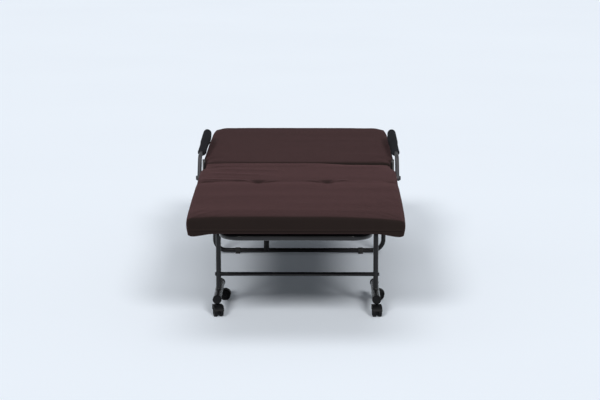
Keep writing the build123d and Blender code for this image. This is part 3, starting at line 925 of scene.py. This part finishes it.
class COT_OT_welds(bpy.types.Operator):
    """Make the weld beads where tubes meet"""

    bl_idname = "cot.welds"
    bl_label = "Weld beads"

    # On the right side: body, middle of the tube that is met, way out along the coped tube,
    # radius of the coped tube, radius of the tube that is met, its run
    seams = (
        ("main_frame", (0.249, 0.043, 0.292), (0, -1, 0), 0.008, 0.011, (1, 0, 0)),
        ("main_frame", (0.249, -0.449, 0.0535), (0, 0, 1), 0.008, 0.0127, (0, 1, 0)),
        ("main_frame", (0.249, -0.370, 0.292), (-1, 0, 0), 0.007, 0.008, (0, 1, 0)),
        ("back_frame", (0.217, 0.0, 0.316), (0, -1, 0), 0.011, 0.0095, (1, 0, 0)),
        ("foot_frame", (0.283, 0.092, 0.316), (0, 1, 0), 0.011, 0.0095, (1, 0, 0)),
    )
    sunk_share = 0.3

    def bead(self, bm, place, axis, tube, onto, along_onto):
        """A bead round a tube's end where it is coped onto another tube."""
        thick = sizes().weld_radius
        ring = bmesh.ops.create_circle(bm, segments=8, radius=thick, cap_ends=False)
        verts = ring["verts"]
        edges = {edge for vert in verts for edge in vert.link_edges}
        upright = Matrix.Rotation(math.radians(90), 3, "X")
        bmesh.ops.rotate(bm, cent=(0, 0, 0), matrix=upright, verts=verts)
        bmesh.ops.translate(bm, vec=(tube + self.sunk_share * thick, 0, 0), verts=verts)
        bmesh.ops.spin(
            bm, geom=list(verts) + list(edges), cent=(0, 0, 0), axis=(0, 0, 1), angle=math.tau,
            steps=40, use_merge=True, use_duplicate=False,
        )
        loop = list({vert for vert in bm.verts if not vert.tag})
        for vert in loop:
            reach = min(abs(vert.co.x), onto)
            vert.co.z += math.sqrt(onto * onto - reach * reach) + self.sunk_share * thick
        direction = Vector(axis)
        other = Vector(along_onto)
        turn = Matrix((direction.cross(other) * -1, other, direction)).transposed()
        bmesh.ops.transform(bm, matrix=Matrix.Translation(place) @ turn.to_4x4(), verts=loop)
        for vert in loop:
            vert.tag = True

    def execute(self, context):
        paint = weld_metal()
        bodies = dict.fromkeys(seam[0] for seam in self.seams)
        beads = {body: bmesh.new() for body in bodies}
        for _, sign in SIDES:
            for body, (x, y, z), (out_x, out_y, out_z), tube, onto, run in self.seams:
                place, axis = Vector((sign * x, y, z)), (sign * out_x, out_y, out_z)
                self.bead(beads[body], place, axis, tube, onto, run)
        for body, bm in beads.items():
            bmesh.ops.recalc_face_normals(bm, faces=bm.faces)
            piece = new_piece(f"weld_beads_{body}", bm)
            shade_smooth(piece)
            dress(piece, paint, body)
        return {"FINISHED"}


class COT_OT_frame_finish(bpy.types.Operator):
    """Give the frame, hinges and casters their finishes"""

    bl_idname = "cot.frame_finish"
    bl_label = "Frame finishes"

    def execute(self, context):
        finishes = {
            "frame_paint": tube_paint("tube_paint", tuple(colours().paint)),
            "slat_paint": plate_paint(),
            "fastener": black_zinc(),
            "black_plastic": moulded_plastic(),
            "wheel_plastic": wheel_plastic(),
            "rubber": dull_rubber(),
        }
        finishes["plate_paint"] = finishes["slat_paint"]
        # The arm tubes get a copy of the tube paint made 4.2 times lighter
        arm_lighter = 4.2
        arm_paint = tube_paint("arm_paint", scaled(colours().paint, arm_lighter))
        for part in frame["record"]["subparts"]:
            material = finishes.get(part["material_slot"])
            if material is None:
                continue
            if part["node"].startswith("arm_tube"):
                material = arm_paint
            node = frame["nodes"][part["node"]]
            node.data.materials.clear()
            node.data.materials.append(material)
        return {"FINISHED"}


class COT_OT_stage(bpy.types.Operator):
    """Set the floor, the light and the camera"""

    bl_idname = "cot.stage"
    bl_label = "Studio"

    # Share of its light that the floor throws back onto the cot
    floor_bounce = 0.40
    # Degrees: width of each light as seen from the cot, tilt from straight overhead, turn
    overhead_aim = (44, 9, 0)
    front_left_aim = (12, 61.5, -17)
    front_right_aim = (12, 61.5, 17)

    def floor_finish(self):
        """A pale floor that keeps its shadow and throws little light back."""
        pale = tuple(colours().floor)
        finish = Finish("studio_floor", pale, 0.9)
        tree = finish.tree
        patch = finish.noise(0.6, 2)
        finish.feed("Base Color", finish.tint(patch, scaled(pale, 0.985), pale, 0.3, 0.7))
        finish.set("Specular IOR Level", 0.05)
        finish.set("Emission Color", (*pale, 1))
        finish.set("Emission Strength", 0.02)
        bounce = tree.nodes.new("ShaderNodeBsdfDiffuse")
        bounce.inputs["Color"].default_value = (*scaled(pale, self.floor_bounce), 1)
        path = tree.nodes.new("ShaderNodeLightPath")
        seen = finish.math("MAXIMUM", path.outputs["Is Camera Ray"], path.outputs["Is Glossy Ray"])
        seen = finish.math("MAXIMUM", seen, path.outputs["Is Transmission Ray"])
        mix = tree.nodes.new("ShaderNodeMixShader")
        tree.links.new(seen, mix.inputs[0])
        tree.links.new(bounce.outputs[0], mix.inputs[1])
        tree.links.new(finish.shader.outputs[0], mix.inputs[2])
        tree.links.new(mix.outputs[0], tree.nodes["Material Output"].inputs["Surface"])
        return finish.material

    def execute(self, context):
        studio = context.scene.cot_studio
        bm = bmesh.new()
        bmesh.ops.create_grid(bm, x_segments=4, y_segments=4, size=60)
        floor = new_piece("studio_floor", bm)
        floor.data.materials.append(self.floor_finish())

        for name, strength, aim in (
            ("overhead", studio.overhead, self.overhead_aim),
            ("front_left", studio.front_fill, self.front_left_aim),
            ("front_right", studio.front_fill, self.front_right_aim),
        ):
            width, tilt, turn = (math.radians(angle) for angle in aim)
            lamp = bpy.data.lights.new(name, "SUN")
            lamp.energy = strength
            lamp.angle = width
            lamp.color = (1.0, 0.985, 0.965)
            light = bpy.data.objects.new(name, lamp)
            light.rotation_euler = (tilt, 0, turn)
            context.scene.collection.objects.link(light)

        world = context.scene.world or bpy.data.worlds.new("studio")
        context.scene.world = world
        world.use_nodes = True
        sky = world.node_tree.nodes["Background"]
        sky.inputs["Color"].default_value = (0.9, 0.95, 1.0, 1)
        sky.inputs["Strength"].default_value = studio.surround

        lens = bpy.data.cameras.new("front_view")
        lens.sensor_fit = "HORIZONTAL"
        lens.sensor_width = 36
        lens.lens = studio.lens
        lens.clip_end = 200
        camera = bpy.data.objects.new("front_view", lens)
        camera.location = studio.camera_place
        camera.rotation_euler = (math.pi / 2 - studio.camera_pitch, 0, studio.camera_yaw)
        context.scene.collection.objects.link(camera)
        context.scene.camera = camera
        context.scene.view_settings.view_transform = "Standard"
        return {"FINISHED"}


class COT_PT_panel(bpy.types.Panel):
    """Sidebar panel of the folding cot"""

    bl_idname = "COT_PT_panel"
    bl_label = "Folding Cot"
    bl_space_type = "VIEW_3D"
    bl_region_type = "UI"
    bl_category = "Cot"

    def draw(self, context):
        scene = context.scene
        for group in (scene.cot_sizes, scene.cot_colours, scene.cot_studio):
            box = self.layout.column(align=True)
            for name in group.__annotations__:
                box.prop(group, name)
        for operator in OPERATORS:
            self.layout.operator(operator.bl_idname)


OPERATORS = (
    COT_OT_frame_finish,
    COT_OT_cushions,
    COT_OT_tuft_threads,
    COT_OT_grips,
    COT_OT_strap,
    COT_OT_welds,
    COT_OT_stage,
)
GROUPS = (CotSizes, CotColours, CotStudio)


def register():
    for cls in GROUPS + OPERATORS + (COT_PT_panel,):
        bpy.utils.register_class(cls)
    bpy.types.Scene.cot_sizes = PointerProperty(type=CotSizes)
    bpy.types.Scene.cot_colours = PointerProperty(type=CotColours)
    bpy.types.Scene.cot_studio = PointerProperty(type=CotStudio)


def unregister():
    del bpy.types.Scene.cot_studio
    del bpy.types.Scene.cot_colours
    del bpy.types.Scene.cot_sizes
    for cls in reversed(GROUPS + OPERATORS + (COT_PT_panel,)):
        bpy.utils.unregister_class(cls)


def main():
    register()
    bpy.ops.cot.stage()
    bpy.ops.cot.frame_finish()
    bpy.ops.cot.cushions()
    bpy.ops.cot.tuft_threads()
    bpy.ops.cot.grips()
    bpy.ops.cot.strap()
    bpy.ops.cot.welds()


if __name__ == "__main__":
    main()
